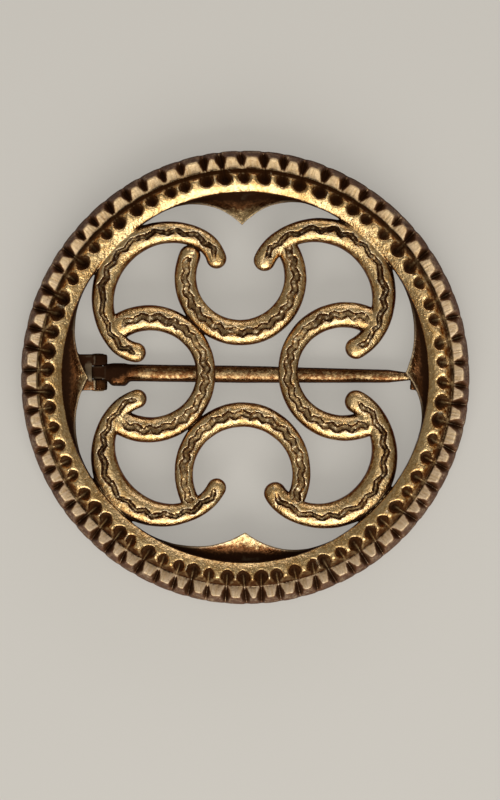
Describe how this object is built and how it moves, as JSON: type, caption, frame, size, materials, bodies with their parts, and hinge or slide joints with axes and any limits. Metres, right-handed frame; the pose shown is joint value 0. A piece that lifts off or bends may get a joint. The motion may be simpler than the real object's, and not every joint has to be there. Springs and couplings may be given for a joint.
{
  "type": "openwork disc brooch",
  "caption": "Round openwork cast brass brooch with a notched rim, scrolled ribbons and a hinged needle across its hollow back, lying face up.",
  "frame": {"origin": "on the ground plane under the middle of the disc, with the brooch lying on the back edge of its rim", "axes": "+Z out of the decorated face, +X from the hinge to the catch, +Y to the top of the face as worn"},
  "size_m": [0.0418, 0.0422, 0.0044],
  "materials": {
    "cast_brass": "polished over a dark patina",
    "needle_brass": "drawn and burnished",
    "rivet_brass": "dull, darkened"
  },
  "bodies": {
    "brooch": {"brooch_body": "cast_brass", "hinge_axle": "rivet_brass"},
    "needle": {"needle": "needle_brass"}
  },
  "joints": [
    {"name": "needle_swing", "type": "hinge", "parent": "brooch", "child": "needle", "pos_m": [-0.0137, 0.00047, 0.0012], "axis": [0, 1, 0], "range_deg": [0, 135]}
  ]
}
